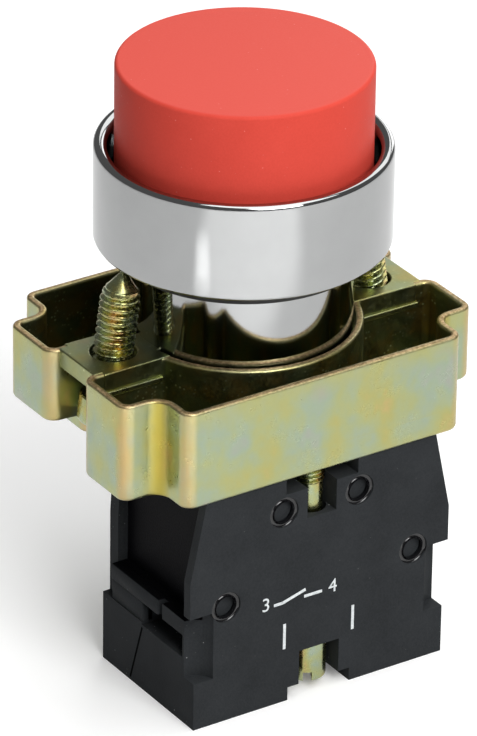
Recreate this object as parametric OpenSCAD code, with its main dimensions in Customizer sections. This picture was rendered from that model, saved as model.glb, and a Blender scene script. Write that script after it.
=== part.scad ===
// Panel push button, 22 mm: extended round button head, pressed mounting collar and one contact block.
// Millimetres. The block stands on z = 0 and the button's axis is the Z axis. The block's face looks to -Y.

/* [Button] */
// Diameter of the button cap
cap_d = 25.2; // [22:0.1:27]
// Height of the cap above the bezel's rim
cap_proud = 8.5; // [5:0.1:12]
// Side wall of the cap
cap_wall = 1.6; // [1:0.1:2.5]
// Thickness of the cap's top
cap_top_t = 2; // [1:0.1:3]
// Rounding of the cap's upper edge
cap_edge_r = 0.5; // [0.2:0.1:1]
// Stroke of the button
travel = 4.3; // [3:0.1:5]

/* [Pusher] */
// Diameter of the stem through the barrel's ledge
stem_d = 10; // [7:0.5:11]
// Diameter of the column between piston and cap
column_d = 15; // [12:0.5:17]
// Thickness of the piston
piston_t = 3; // [2.4:0.1:3.6]
// Thickness of the disc that fills the cap
cap_disc_t = 3; // [2:0.1:4]
// Section of the seal ring in the piston
seal_wire_d = 1.1; // [0.8:0.1:1.4]
// Thickness of the foot under the ledge
foot_t = 1.8; // [1.2:0.1:2.4]
// Diameter of the stem's lower end, which carries the foot
tail_d = 5; // [4:0.1:6]
// Thickness of the circlip under the foot
circlip_t = 0.6; // [0.4:0.1:0.8]
// Radial width of the circlip
circlip_w = 0.7; // [0.5:0.1:0.9]
// Wire of the button's return spring
return_wire_d = 1; // [0.6:0.1:1.1]
// Turns of the return spring
return_turns = 3.5; // [3:0.5:4]

/* [Bezel] */
// Height of the bezel
bezel_h = 10.1; // [9:0.1:14]
// Wall of the bezel
bezel_wall = 1.1; // [0.8:0.1:2]
// Gap between the cap and the bezel's wall
cap_gap = 0.95; // [0.4:0.05:1.4]
// Thickness of the bezel's floor
bezel_floor_t = 1.5; // [1:0.1:2]
// Rounding under the bezel
bezel_fillet = 0.4; // [0.2:0.1:1]
// Rounding of the bezel's rim
rim_r = 0.4; // [0.2:0.1:0.4]

/* [Barrel] */
// Diameter of the barrel, which goes through the panel
barrel_d = 22; // [20:0.5:24]
// Wall of the barrel
barrel_wall = 1.7; // [1.5:0.1:2]
// Thickness of the barrel's top flange
flange_t = 1.2; // [0.8:0.1:1.6]
// Thickness of the ledge that guides the stem
ledge_t = 1.5; // [1.2:0.1:2.2]
// Length of the barrel below the ledge
skirt_l = 4; // [3:0.1:4.5]
// Depth of the bayonet grooves
groove_depth = 0.9; // [0.6:0.1:1.1]

/* [Panel clamp] */
// Room for the panel between gasket and collar
panel_gap = 7.5; // [5:0.1:10]
// Thickness of the gasket
gasket_t = 1.3; // [0.8:0.1:1.6]
// Radial width of the gasket
gasket_w = 1.6; // [1:0.1:1.8]

/* [Mounting collar] */
// Overall length of the collar
collar_l = 40.8; // [39:0.1:46]
// Width of the collar's middle
collar_w = 30.2; // [30:0.1:34]
// Length of the wide middle
collar_mid_l = 32.2; // [30:0.1:35]
// Width of the collar's ends
collar_end_w = 21.3; // [18:0.1:24]
// Height of the collar
collar_h = 10.5; // [9.5:0.1:13]
// Thickness of the collar's sheet
sheet_t = 0.8; // [0.6:0.1:1]
// Thickness of the table that the clamp screws go through
table_t = 2; // [1.4:0.1:2.4]
// Clear width of the channel under the table
channel_w = 5.8; // [5.7:0.1:7]
// How far the table stops short of the collar's end
table_setback = 1.3; // [0.4:0.1:1.5]
// Rounding of the collar's convex corners
corner_r = 1.1; // [0.9:0.1:2.4]
// Rounding of the collar's hollow corners, measured outside
hollow_r = 1.2; // [0.8:0.1:1.6]
// Rounding of the bend along the collar's bottom
bend_r = 0.5; // [0.4:0.1:0.8]
// How much higher two of the collar's four tongues end
tongue_step = 2.5; // [1.5:0.1:3]
// Width of the bayonet tabs
tab_w = 4; // [3:0.1:5]
// Outside diameter of the threaded bosses in the collar's floor
boss_d = 4.6; // [4.2:0.1:5]
// Height of the threaded bosses
boss_h = 2.4; // [1.6:0.1:2.8]

/* [Clamp screws] */
// Thread diameter of the clamp screws
clamp_d = 4; // [3:0.1:4.2]
// Thread pitch of the clamp screws
clamp_pitch = 0.7; // [0.5:0.1:1]
// Lean of the clamp screws towards the barrel
clamp_tilt = 8; // [5:0.5:9]
// Land between the collar's ring and the clamp screws
clamp_land = 0.85; // [0.6:0.05:1.2]
// Head diameter of the clamp screws
clamp_head_d = 5.5; // [4.5:0.1:5.6]
// Head height of the clamp screws
clamp_head_t = 3; // [2:0.1:3]
// Thread showing between head and table
clamp_head_drop = 2.5; // [2.2:0.1:3]
// Room between the points and the bezel when no panel is fitted
clamp_room = 0.2; // [0.1:0.05:0.6]

/* [Contact block] */
// Height of the block
block_h = 25; // [24.5:0.1:28]
// Thickness of the base from the seam to the back
base_t = 10.9; // [9.6:0.1:12]
// Distance from the collar's side to the block's face
face_setback = 0.4; // [0:0.1:0.6]
// Length of the block over its shoulders
shoulder_l = 30.4; // [30:0.1:33]
// Height of the shoulders' upper edge
shoulder_h = 16.5; // [15.5:0.1:18]
// Height of the shoulders' lower edge
shoulder_low_h = 12.6; // [12:0.1:13.4]
// Length of the block at its top
block_top_l = 26.8; // [26.4:0.1:27]
// Length of the block at its foot
block_foot_l = 29.4; // [29:0.1:31]
// Height of the cover's foot, below the finger hollows
block_foot_h = 5.2; // [4:0.1:6]
// Height of the base's foot
base_foot_h = 7.6; // [6:0.1:9]
// Length of the base above its foot
base_l = 27.8; // [27.6:0.1:28.6]
// Thickness of the cover's flange at the block's ends
end_flange_t = 1.1; // [0.8:0.1:1.4]
// Thickness of the base's flange at the block's ends
back_flange_t = 1.5; // [1:0.1:2]
// Thickness of the shelves over the wire ways
shelf_t = 1.7; // [1.5:0.1:2]
// Depth of the recesses in the block's ends, from the shoulder
end_recess = 2.4; // [1.6:0.1:2.6]
// Thickness of the shell over the contacts
shell_top_t = 1.6; // [1.2:0.1:2]
// Diameter of the pins that join the shells
pin_d = 2.4; // [2:0.1:2.6]
// Diameter of the holes in the cover for the pins
pin_hole_d = 3.3; // [2.9:0.1:3.4]
// How far the pins end below the cover's face
pin_sink = 0.7; // [0.3:0.1:1.2]
// Half spacing of the upper pins
upper_pin_x = 4.4; // [4.3:0.1:5]
// Height of the upper pins
upper_pin_z = 21.4; // [21:0.1:22]
// Distance of the lower pins from the shoulders' ends
lower_pin_inset = 4.2; // [4.2:0.1:4.6]
// Height of the lower pins
lower_pin_z = 12.8; // [12.6:0.1:13.6]
// Radius of the finger hollows at the face's sides
grip_r = 2.3; // [2:0.1:2.4]
// Depth of the finger hollows at the block's ends
grip_depth = 1.8; // [1.2:0.1:1.9]

/* [Block fixing screw] */
// Thread diameter of the fixing screw
fix_d = 3; // [2.5:0.1:3]
// Thread pitch of the fixing screw
fix_pitch = 0.5; // [0.4:0.1:0.6]
// Head diameter of the fixing screw
fix_head_d = 4; // [3.6:0.1:4.2]
// Head height of the fixing screw
fix_head_t = 4.2; // [3.4:0.1:4.6]
// Depth of the fixing screw's drive slot
fix_slot_depth = 1; // [0.8:0.1:1.4]
// Length of thread on the fixing screw
fix_thread_l = 4.6; // [4:0.1:6]
// Place of the fixing screw in the cover's thickness, from the face
fix_share = 0.4; // [0.38:0.01:0.42]

/* [Contacts] */
// Distance of the contact parts from the seam between the shells
contact_inset = 3.7; // [3.6:0.1:4.2]
// Diameter of the plunger's stem
plunger_d = 3.6; // [3:0.1:3.8]
// Width of the plunger's carriage
carriage_w = 6; // [5.4:0.1:6]
// Thickness of the carriage from cheek to cheek
carriage_t = 5.8; // [5.4:0.1:6]
// Thickness of the carriage's cheeks
cheek_t = 0.8; // [0.6:0.1:1]
// Thickness of the carriage's upper and lower bars
bar_t = 1.7; // [1.4:0.1:1.9]
// Diameter of the plunger's lower guide pin
guide_d = 3; // [2.4:0.1:3]
// Length of the guide pin under the carriage
guide_l = 6; // [5.6:0.1:6.4]
// Open gap between the contact tips
contact_gap = 2.1; // [1.6:0.1:2.4]
// Length of the contact bridge
bridge_l = 13.6; // [13:0.1:13.8]
// Width of the contact bridge
bridge_w = 3.8; // [3:0.1:4]
// Thickness of the contact bridge
bridge_t = 0.8; // [0.6:0.1:1]
// Half spacing of the contact tips
tip_x = 5.3; // [5.2:0.1:5.4]
// Diameter of the contact tips
tip_d = 2.6; // [2:0.1:2.8]
// Thickness of each contact tip
tip_t = 0.9; // [0.6:0.1:1]

/* [Terminals] */
// Half spacing of the terminal screws
terminal_x = 9.2; // [9.1:0.05:9.3]
// Thread diameter of the terminal screws
terminal_d = 3.5; // [3:0.1:3.6]
// Thread pitch of the terminal screws
terminal_pitch = 0.6; // [0.5:0.1:0.8]
// Head diameter of the terminal screws
terminal_head_d = 5.5; // [5:0.1:5.6]
// Head height of the terminal screws
terminal_head_t = 2.4; // [1.8:0.1:2.6]
// Depth of the screwdriver holes under the terminal screws
terminal_access = 4; // [3.6:0.1:4.4]
// Side of the square clamp washers
washer_w = 5.8; // [5.6:0.1:5.8]
// Thickness of the clamp washers
washer_t = 0.9; // [0.6:0.1:1]
// Open wire gap of the terminals
wire_gap = 2.8; // [2.4:0.1:3]
// Width of the terminal plates
plate_w = 6.8; // [6.6:0.1:7]
// Thickness of the terminal plates
plate_t = 1; // [0.8:0.1:1.2]
// Thread left above the plate
terminal_over = 3; // [2:0.1:3.4]

/* [Clearances] */
// Clearance of sliding plastic pieces, on the radius
slide_clear = 0.2; // [0.1:0.05:0.25]
// Clearance of seated pieces, on each side
seat_clear = 0.05; // [0.02:0.01:0.1]
// Clearance of screws in their threads, on the radius
thread_clear = 0.08; // [0.05:0.01:0.1]
// Room left at the bottom of the stroke
stroke_clear = 0.4; // [0.2:0.05:0.6]

/* [Hidden] */
$fn = 96;

// Overshoot of cutting bodies, so that no skin of zero thickness is left
cut = 1;

// Heights of the head, from the block upwards
z_collar = block_h;
z_table = z_collar + collar_h;
z_gasket = z_table + panel_gap;
z_bezel = z_gasket + gasket_t;
z_flange = z_bezel + bezel_floor_t;
z_barrel_top = z_flange + flange_t;
z_rim = z_bezel + bezel_h;
z_cap_top = z_rim + cap_proud;
z_cap_low = z_barrel_top + travel + stroke_clear;
tail_over = 0.3;
z_tail = block_h + stroke_clear + travel;
z_circlip = z_tail + tail_over;
z_foot = z_circlip + circlip_t;
z_ledge = z_foot + foot_t;
z_spring_seat = z_ledge + ledge_t;
z_barrel_low = z_ledge - skirt_l;
z_piston_top = z_barrel_top - slide_clear;
z_piston = z_piston_top - piston_t;

// Radii of the head
cap_r = cap_d / 2;
bezel_r = cap_r + cap_gap + bezel_wall;
barrel_r = barrel_d / 2;
bore_r = barrel_r - barrel_wall;
piston_r = bore_r - slide_clear;
flange_r = bezel_r - bezel_wall - slide_clear;
foot_r = piston_r - slide_clear;
circlip_groove = 0.4;

// Collar, seen from above
ring_in_r = barrel_r + slide_clear;
ring_out_r = ring_in_r + sheet_t;
inner_wall_w = channel_w + 2 * sheet_t;
table_end = collar_l / 2 - table_setback;
tab_reach = groove_depth - slide_clear;
groove_clear = 0.15;
lock_turn = 60;

// Clamp screws: the axis goes through the table's top at clamp_x
clamp_x = ring_out_r + clamp_land + clamp_d / 2;
clamp_tip = (panel_gap + gasket_t - clamp_room) / cos(clamp_tilt);
clamp_head = -(table_t + clamp_head_drop) / cos(clamp_tilt);
thread_depth_share = 0.61;
drive_slot_w = 0.9;
drive_slot_share = 0.45;
head_edge_share = 0.25;

// Contact block, from face to back
y_face = -(collar_w / 2 - face_setback);
y_contact = -(tail_d / 2 + circlip_w + plunger_d / 2 + slide_clear);
y_seam = y_contact - contact_inset;
y_back = y_seam + base_t;
fix_inset = fix_share * (y_seam - y_face);
y_fix = y_face + fix_inset;
lower_pin_x = shoulder_l / 2 - lower_pin_inset;
grip_wall = 0.3;

// Heights inside the block
z_terminal_head = terminal_access;
z_washer = z_terminal_head + terminal_head_t;
z_wire = z_washer + washer_t;
z_plate = z_wire + wire_gap;
z_plate_top = z_plate + plate_t;
z_fixed_tip = z_plate_top + tip_t;
z_moving_tip = z_fixed_tip + contact_gap;
z_bridge = z_moving_tip + tip_t;
z_carriage = z_bridge - bar_t;
z_carriage_top = block_h - shell_top_t;
z_window_top = z_carriage_top - bar_t;
z_plunger_top = z_foot - seat_clear;
shelf_cover_t = 0.4;
z_shelf_top = z_plate_top + shelf_cover_t;
z_shelf = z_shelf_top - shelf_t;

// Springs of the contact block
spring_seat_drop = 2.2;
plunger_spring_seat = z_carriage - guide_l - spring_seat_drop;
plunger_wire_d = 0.5;
plunger_spring_r = guide_d / 2 + slide_clear + plunger_wire_d / 2;
plunger_spring_turns = 5;
contact_wire_d = 0.4;
contact_spring_r = bridge_w / 2 - contact_wire_d - slide_clear;
contact_spring_turns = 3;
return_spring_r = (stem_d / 2 + bore_r) / 2;

// Fixing screw and the notches that show it
fix_head_top = block_foot_h;
z_fix_thread = block_h + boss_h - fix_thread_l;
fix_shank_d = fix_d - thread_depth_share * fix_pitch;
notch_low_room = 0.7;
notch_low_side = 1.3;
notch_low_step = 1.45;
notch_top_room = 0.4;
notch_top_side = 2.5;
notch_top_h = 5;
notch_top_step_h = 1.65;
notch_low_w = fix_head_d + notch_low_room;
notch_low_wide = notch_low_w + 2 * notch_low_side;
notch_top_w = fix_d + notch_top_room;
notch_top_wide = notch_top_w + 2 * notch_top_side;
notch_top_z = block_h - notch_top_h;
notch_top_step = block_h - notch_top_step_h;
notch_depth = fix_inset + fix_head_d / 2 + 3 * seat_clear;
rib_side = 1;
rib_w = fix_head_d + 2 * rib_side;

// Terminal plates reach from the plunger's side to the outer end of the washers' pockets
plate_in = carriage_w / 2 + 3 * slide_clear;
plate_out = terminal_x + washer_w / 2 + slide_clear;
screw_relief = 0.4;

// Wire springs: one tube along a helix, with 8 rings to a turn and 6 sides
rings = 8;
sides = 6;

function helix(r, h, turns) = [
  for (i = [0 : rings * turns])
    let (a = 360 * i / rings)
    [r * cos(a), r * sin(a), h * i / (rings * turns), a]
];

function helix_ring(p, wire_r, lean) = [
  for (k = [0 : sides - 1])
    let (c = wire_r * cos(360 * k / sides), s = wire_r * sin(360 * k / sides))
    [
      p.x + c * cos(p[3]) + s * sin(p[3]) * sin(lean),
      p.y + c * sin(p[3]) - s * cos(p[3]) * sin(lean),
      p.z + s * cos(lean)
    ]
];

function self_gap(line, wire_d) = min([
  for (i = [0 : len(line) - 1], j = [0 : len(line) - 1])
    if (j - i >= rings / 2)
      norm([line[i].x - line[j].x, line[i].y - line[j].y, line[i].z - line[j].z]) - wire_d
]);

module wire_spring(r, wire_d, h, turns, label) {
  line = helix(r, h - wire_d, turns);
  lean = atan((h - wire_d) / (2 * PI * r * turns));
  echo(str(label, " least gap to itself, mm"), self_gap(line, wire_d));
  points = [for (p = line) each helix_ring(p, wire_d / 2, lean)];
  last = (len(line) - 1) * sides;
  tube = [
    for (i = [0 : len(line) - 2], k = [0 : sides - 1])
      let (a = i * sides + k, b = i * sides + (k + 1) % sides)
      each [[a, a + sides, b], [b, a + sides, b + sides]]
  ];
  start_cap = [for (k = [1 : sides - 2]) [0, k, k + 1]];
  end_cap = [for (k = [1 : sides - 2]) [last, last + k + 1, last + k]];
  translate([0, 0, wire_d / 2])
    polyhedron(points = points, faces = concat(tube, start_cap, end_cap), convexity = 6);
}

// A ring or disc with rounded outer corners, as a half section for turning
module round_section(r, h, low_r, top_r) {
  difference() {
    square([r, h]);
    corner_cut(r, 0, low_r, 1);
    corner_cut(r, h, top_r, -1);
  }
}

// What a rounding takes off a corner of a half section; side is 1 at the bottom and -1 at the top
module corner_cut(r, z, round_r, side) {
  difference() {
    translate([r - round_r, side > 0 ? z - cut : z - round_r])
      square([round_r + cut, round_r + cut]);
    translate([r - round_r, z + side * round_r])
      circle(r = round_r);
  }
}

module tube(r_out, r_in, z0, z1) {
  translate([0, 0, z0])
    difference() {
      cylinder(r = r_out, h = z1 - z0);
      translate([0, 0, -cut])
        cylinder(r = r_in, h = z1 - z0 + 2 * cut);
    }
}

module box(x0, x1, y0, y1, z0, z1) {
  translate([x0, y0, z0])
    cube([x1 - x0, y1 - y0, z1 - z0]);
}

module both_sides() {
  children();
  mirror([1, 0, 0])
    children();
}

// Thread along +Z from 0 to l, drawn as rings of the thread's own pitch, with a cone point if asked
module thread(d, pitch, l, point_l = 0) {
  depth = thread_depth_share * pitch;
  count = max(1, floor(l / pitch));
  step = l / count;
  rotate_extrude()
    polygon(concat(
      [[0, 0]],
      [for (i = [0 : count - 1]) each [[d / 2 - depth, i * step], [d / 2, (i + 0.5) * step]]],
      [[d / 2 - depth, l], [0, l + point_l]]
    ));
}

// Slotted head with its drive slot facing -Z, from z0 up to z0 + t
module slotted_head(d, t, z0, slot_depth, edge_r) {
  difference() {
    translate([0, 0, z0])
      rotate_extrude()
        round_section(d / 2, t, edge_r, edge_r / 2);
    box(-d, d, -drive_slot_w / 2, drive_slot_w / 2, z0 - cut, z0 + slot_depth);
  }
}

// Head: button, bezel and barrel

module button_cap() {
  h = z_cap_top - z_cap_low;
  color("crimson")
    translate([0, 0, z_cap_low])
      rotate_extrude()
        difference() {
          round_section(cap_r, h, cap_edge_r / 2, cap_edge_r);
          translate([-cut, -cut])
            square([cap_r - cap_wall + cut, h - cap_top_t + cut]);
        }
}

module pusher() {
  z_disc = z_cap_top - cap_top_t - cap_disc_t;
  groove_r = piston_r - seal_wire_d + seat_clear;
  groove_z = z_piston + piston_t / 2;
  color("whitesmoke")
    difference() {
      union() {
        translate([0, 0, z_tail])
          cylinder(d = tail_d, h = z_ledge - z_tail);
        translate([0, 0, z_ledge])
          cylinder(d = stem_d, h = z_piston - z_ledge);
        translate([0, 0, z_piston])
          cylinder(r = piston_r, h = piston_t);
        translate([0, 0, z_piston_top])
          cylinder(d = column_d, h = z_disc - z_piston_top);
        translate([0, 0, z_disc])
          cylinder(r = cap_r - cap_wall - seat_clear, h = cap_disc_t);
      }
      tube(piston_r + cut, groove_r, groove_z - seal_wire_d / 2, groove_z + seal_wire_d / 2);
      tube(tail_d, tail_d / 2 - circlip_groove, z_circlip, z_foot);
    }
}

module pusher_seal() {
  seal_r = piston_r - seal_wire_d / 2 + 2 * seat_clear;
  color("dimgray")
    translate([0, 0, z_piston + piston_t / 2])
      rotate_extrude()
        translate([seal_r, 0])
          circle(d = seal_wire_d - seat_clear, $fn = 48);
}

module pusher_foot() {
  color("whitesmoke")
    tube(foot_r, tail_d / 2 + seat_clear, z_foot, z_ledge);
}

module stem_circlip() {
  opening = tail_d * 0.6;
  color("silver")
    difference() {
      tube(
        tail_d / 2 + circlip_w, tail_d / 2 - circlip_groove + seat_clear,
        z_circlip + seat_clear, z_foot
      );
      box(0, tail_d * 2, -opening / 2, opening / 2, z_circlip - cut, z_foot + cut);
    }
}

module return_spring() {
  color("lightgray")
    translate([0, 0, z_spring_seat])
      wire_spring(return_spring_r, return_wire_d, z_piston - z_spring_seat, return_turns, "return spring");
}

module bezel() {
  color("silver")
    translate([0, 0, z_bezel])
      rotate_extrude()
        difference() {
          round_section(bezel_r, bezel_h, bezel_fillet, rim_r);
          translate([-cut, -cut])
            square([barrel_r + seat_clear + cut, bezel_h + 2 * cut]);
          translate([-cut, bezel_floor_t])
            square([bezel_r - bezel_wall + cut, bezel_h]);
        }
}

module barrel() {
  color("gainsboro")
    difference() {
      union() {
        translate([0, 0, z_barrel_low])
          cylinder(r = barrel_r, h = z_barrel_top - z_barrel_low);
        translate([0, 0, z_flange])
          cylinder(r = flange_r, h = flange_t);
      }
      translate([0, 0, z_barrel_low - cut])
        cylinder(r = bore_r, h = skirt_l + cut);
      translate([0, 0, z_ledge - cut])
        cylinder(r = stem_d / 2 + slide_clear, h = ledge_t + 2 * cut);
      translate([0, 0, z_spring_seat])
        cylinder(r = bore_r, h = z_barrel_top - z_spring_seat + cut);
      for (side = [0, 180])
        rotate([0, 0, side])
          bayonet_groove();
    }
}

// The groove lets the collar's tab in from below, and then round by the locking turn
module bayonet_groove() {
  entry_w = tab_w + 2 * groove_clear;
  entry_x = barrel_r - groove_depth - groove_clear;
  half_angle = asin(entry_w / 2 / (barrel_r - groove_depth)) + 1;
  rotate([0, 0, -half_angle])
    translate([0, 0, z_table - table_t - groove_clear])
      rotate_extrude(angle = lock_turn + half_angle)
        translate([barrel_r - groove_depth, 0])
          square([groove_depth + cut, table_t + 2 * groove_clear]);
  rotate([0, 0, lock_turn])
    box(entry_x, barrel_r + cut, -entry_w / 2, entry_w / 2, z_barrel_low - cut, z_table);
}

module panel_gasket() {
  color("#26282a")
    tube(barrel_r + seat_clear + gasket_w, barrel_r + seat_clear, z_gasket, z_bezel);
}

// Mounting collar and clamp screws

module rounded_rect(w, l, r) {
  square([w - 2 * r, l], center = true);
  square([w, l - 2 * r], center = true);
  for (x = [-1, 1], y = [-1, 1])
    translate([x * (w / 2 - r), y * (l / 2 - r)])
      circle(r = r);
}

// The collar's outline from above, drawn in by inset all round
module collar_outline(inset) {
  mid_x = collar_mid_l / 2 - inset;
  end_y = collar_end_w / 2 - inset;
  fillet = hollow_r + inset;
  rounded_rect(2 * mid_x, collar_w - 2 * inset, max(corner_r - inset, sheet_t));
  rounded_rect(collar_l - 2 * inset, 2 * end_y, max(corner_r - inset, sheet_t));
  for (x = [-1, 1], y = [-1, 1])
    translate([x * mid_x, y * end_y])
      scale([x, y])
        difference() {
          translate([-seat_clear, -seat_clear])
            square(fillet + seat_clear);
          translate([fillet, fillet])
            circle(r = fillet);
        }
}

// The ring round the barrel and the channel from end to end, as one outline
module channel_outline(ring_r, w) {
  circle(r = ring_r);
  square([collar_l + 2 * cut, w], center = true);
}

// The pressing's outside, drawn in along the bottom bend
module collar_body() {
  steps = 4;
  for (i = [0 : steps - 1]) {
    low = bend_r * i / steps;
    middle = bend_r * (i + 0.5) / steps;
    translate([0, 0, low])
      linear_extrude(bend_r / steps)
        collar_outline(bend_r - sqrt(bend_r * bend_r - pow(bend_r - middle, 2)));
  }
  translate([0, 0, bend_r])
    linear_extrude(collar_h - bend_r)
      collar_outline(0);
}

// Room under the two raised tongues, at the right of the front and the left of the rear
module raised_tongues(x0, z1) {
  for (turn = [0, 180])
    rotate([0, 0, turn])
      box(x0, collar_l, -collar_w, 0, -cut, z1);
}

// Pockets of the pressing, between its outer wall and the walls of ring and channel
module collar_pockets() {
  difference() {
    translate([0, 0, sheet_t])
      linear_extrude(collar_h)
        difference() {
          collar_outline(sheet_t);
          channel_outline(ring_out_r, inner_wall_w);
        }
    raised_tongues(collar_mid_l / 2 - sheet_t, tongue_step + sheet_t);
  }
}

module mounting_collar() {
  under_table = collar_h - table_t;
  color("darkkhaki")
    translate([0, 0, z_collar]) {
      difference() {
        union() {
          difference() {
            collar_body();
            collar_pockets();
            raised_tongues(collar_mid_l / 2, tongue_step);
            translate([0, 0, -cut])
              cylinder(r = ring_in_r, h = collar_h + 2 * cut);
            translate([0, 0, -cut])
              linear_extrude(under_table + cut)
                square([collar_l + 2 * cut, channel_w], center = true);
          }
          boss_places()
            cylinder(d = boss_d, h = boss_h);
        }
        // Room for the pusher's foot at the bottom of its stroke
        translate([0, 0, -cut])
          cylinder(r = foot_r + slide_clear, h = boss_h + 2 * cut);
        both_sides()
          box(
            table_end, collar_l, -channel_w / 2, channel_w / 2,
            under_table - cut, collar_h + cut
          );
        boss_places()
          translate([0, 0, -cut])
            cylinder(r = fix_d / 2 + thread_clear, h = boss_h + 2 * cut);
        both_sides()
          translate([clamp_x, 0, collar_h])
            rotate([0, -clamp_tilt, 0])
              cylinder(r = clamp_d / 2 + thread_clear, h = 4 * table_t, center = true);
      }
      both_sides()
        bayonet_tab(under_table);
    }
}

module boss_places() {
  for (y = [y_fix, -y_fix])
    translate([0, y, 0])
      children();
}

// Tab at the inner edge of the table, which turns into the barrel's groove
module bayonet_tab(z0) {
  reach_r = barrel_r - tab_reach;
  translate([0, 0, z0])
    linear_extrude(table_t)
      difference() {
        translate([0, -tab_w / 2])
          square([ring_out_r, tab_w]);
        circle(r = reach_r);
      }
}

module clamp_screw_at(side) {
  point_l = clamp_d / 2;
  root = clamp_head - clamp_head_t / 4;
  color("goldenrod")
    translate([side * clamp_x, 0, z_table])
      rotate([0, -side * clamp_tilt, 0]) {
        translate([0, 0, root])
          thread(clamp_d, clamp_pitch, clamp_tip - point_l - root, point_l);
        slotted_head(
          clamp_head_d, clamp_head_t, clamp_head - clamp_head_t,
          drive_slot_share * clamp_head_t, head_edge_share * clamp_head_t
        );
      }
}

module clamp_screw_left() {
  clamp_screw_at(-1);
}

module clamp_screw_right() {
  clamp_screw_at(1);
}

// Contact block

// One shell of the block, from the corners of its front view's right half
module block_slab(y0, y1, half) {
  other = [for (i = [len(half) - 1 : -1 : 0]) [-half[i].x, half[i].y]];
  translate([0, y1, 0])
    rotate([90, 0, 0])
      linear_extrude(y1 - y0)
        polygon(concat(half, other));
}

// Hollows in the block's ends: above the shelf, and the wire way below it
module end_hollows() {
  recess_x = shoulder_l / 2 - end_recess;
  both_sides() {
    box(
      recess_x, shoulder_l, y_face + end_flange_t, y_back - back_flange_t,
      z_shelf_top, block_h + cut
    );
    box(
      terminal_x - washer_w / 2, shoulder_l, y_face + grip_depth + grip_wall, y_contact,
      z_wire, z_shelf
    );
  }
}

module pin_places() {
  both_sides() {
    translate([upper_pin_x, 0, upper_pin_z])
      children();
    translate([lower_pin_x, 0, lower_pin_z])
      children();
  }
}

module block_pin(d, y0, y1) {
  translate([0, y1, 0])
    rotate([90, 0, 0])
      cylinder(d = d, h = y1 - y0);
}

module block_base() {
  bridge_room = slide_clear * 2;
  carriage_x = carriage_w / 2 + slide_clear;
  carriage_y = y_contact + carriage_t / 2 + slide_clear;
  low_carriage = z_carriage - travel - stroke_clear;
  color("#3a3a3c") {
    difference() {
      block_slab(y_seam, y_back, [
        [block_foot_l / 2, 0], [block_foot_l / 2, base_foot_h],
        [base_l / 2, base_foot_h], [base_l / 2, shoulder_h],
        [block_top_l / 2, block_h]
      ]);
      end_hollows();
      // Room for the carriage and the bridge
      box(-carriage_x, carriage_x, y_seam - cut, carriage_y, low_carriage, z_carriage_top);
      box(
        -bridge_l / 2 - bridge_room, bridge_l / 2 + bridge_room,
        y_seam - cut, y_contact + bridge_w / 2 + bridge_room,
        z_plate_top, z_bridge + bridge_t + bridge_room
      );
      translate([0, y_contact, z_carriage_top - cut])
        cylinder(r = plunger_d / 2 + slide_clear, h = shell_top_t + 2 * cut);
      // Seat of the plunger's spring and the guide below it
      translate([0, y_contact, plunger_spring_seat])
        cylinder(r = plunger_spring_r + plunger_wire_d, h = low_carriage - plunger_spring_seat + cut);
      translate([0, y_contact, z_carriage - guide_l - travel - stroke_clear])
        cylinder(r = guide_d / 2 + slide_clear, h = travel + guide_l);
      both_sides()
        terminal_hollow();
    }
    pin_places()
      block_pin(pin_d, y_face + pin_sink, y_seam + cut / 4);
  }
}

// Screwdriver hole, washer pocket, plate slot and screw relief of one terminal
module terminal_hollow() {
  half = washer_w / 2 + slide_clear;
  translate([terminal_x, y_contact, 0]) {
    translate([0, 0, -cut])
      cylinder(r = terminal_head_d / 2 + slide_clear, h = z_washer + cut);
    translate([0, 0, z_plate])
      cylinder(r = terminal_d / 2 + screw_relief, h = plate_t + terminal_over + wire_gap + screw_relief);
    box(-half, half, -half, half, z_washer, z_plate + cut / 2);
  }
  box(
    plate_in - seat_clear, plate_out + seat_clear, y_seam - cut, y_contact + plate_w / 2 + seat_clear,
    z_plate, z_plate_top
  );
}

module block_cover() {
  room_z = z_wire - washer_t;
  room_top = upper_pin_z - pin_hole_d / 2 - shell_top_t / 2;
  room_out = lower_pin_x - pin_hole_d / 2 - shell_top_t / 4;
  color("#303032")
    difference() {
      block_slab(y_face, y_seam, [
        [block_foot_l / 2, 0], [block_foot_l / 2, shoulder_low_h],
        [shoulder_l / 2, shoulder_low_h], [shoulder_l / 2, shoulder_h],
        [block_top_l / 2, block_h]
      ]);
      end_hollows();
      both_sides()
        box(rib_w / 2, room_out, y_face + shell_top_t, y_seam + cut, room_z, room_top);
      pin_places()
        block_pin(pin_hole_d, y_face - cut, y_seam + cut);
      // Notches that show the fixing screw, and its way between them
      box(-notch_low_w / 2, notch_low_w / 2, y_face - cut, y_face + notch_depth, -cut, fix_head_top);
      box(-notch_low_wide / 2, notch_low_wide / 2, y_face - cut, y_face + notch_depth, -cut, notch_low_step);
      box(-notch_top_w / 2, notch_top_w / 2, y_face - cut, y_face + notch_depth, notch_top_z, block_h + cut);
      box(
        -notch_top_wide / 2, notch_top_wide / 2, y_face - cut, y_face + notch_depth,
        notch_top_step, block_h + cut
      );
      translate([0, y_fix, 0])
        cylinder(r = fix_d / 2 + slide_clear, h = block_h);
      // Finger hollows at both sides of the face
      both_sides()
        translate([block_foot_l / 2, y_face + grip_depth - grip_r, block_foot_h])
          cylinder(r = grip_r, h = shoulder_low_h - block_foot_h);
    }
}

module block_fixing_screw() {
  color("goldenrod")
    translate([0, y_fix, 0]) {
      slotted_head(fix_head_d, fix_head_t, fix_head_top - fix_head_t, fix_slot_depth, seat_clear * 3);
      translate([0, 0, fix_head_top - fix_slot_depth])
        cylinder(d = fix_shank_d, h = z_fix_thread - fix_head_top + fix_slot_depth);
      translate([0, 0, z_fix_thread])
        thread(fix_d, fix_pitch, fix_thread_l);
    }
}

// Moving contacts

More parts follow.
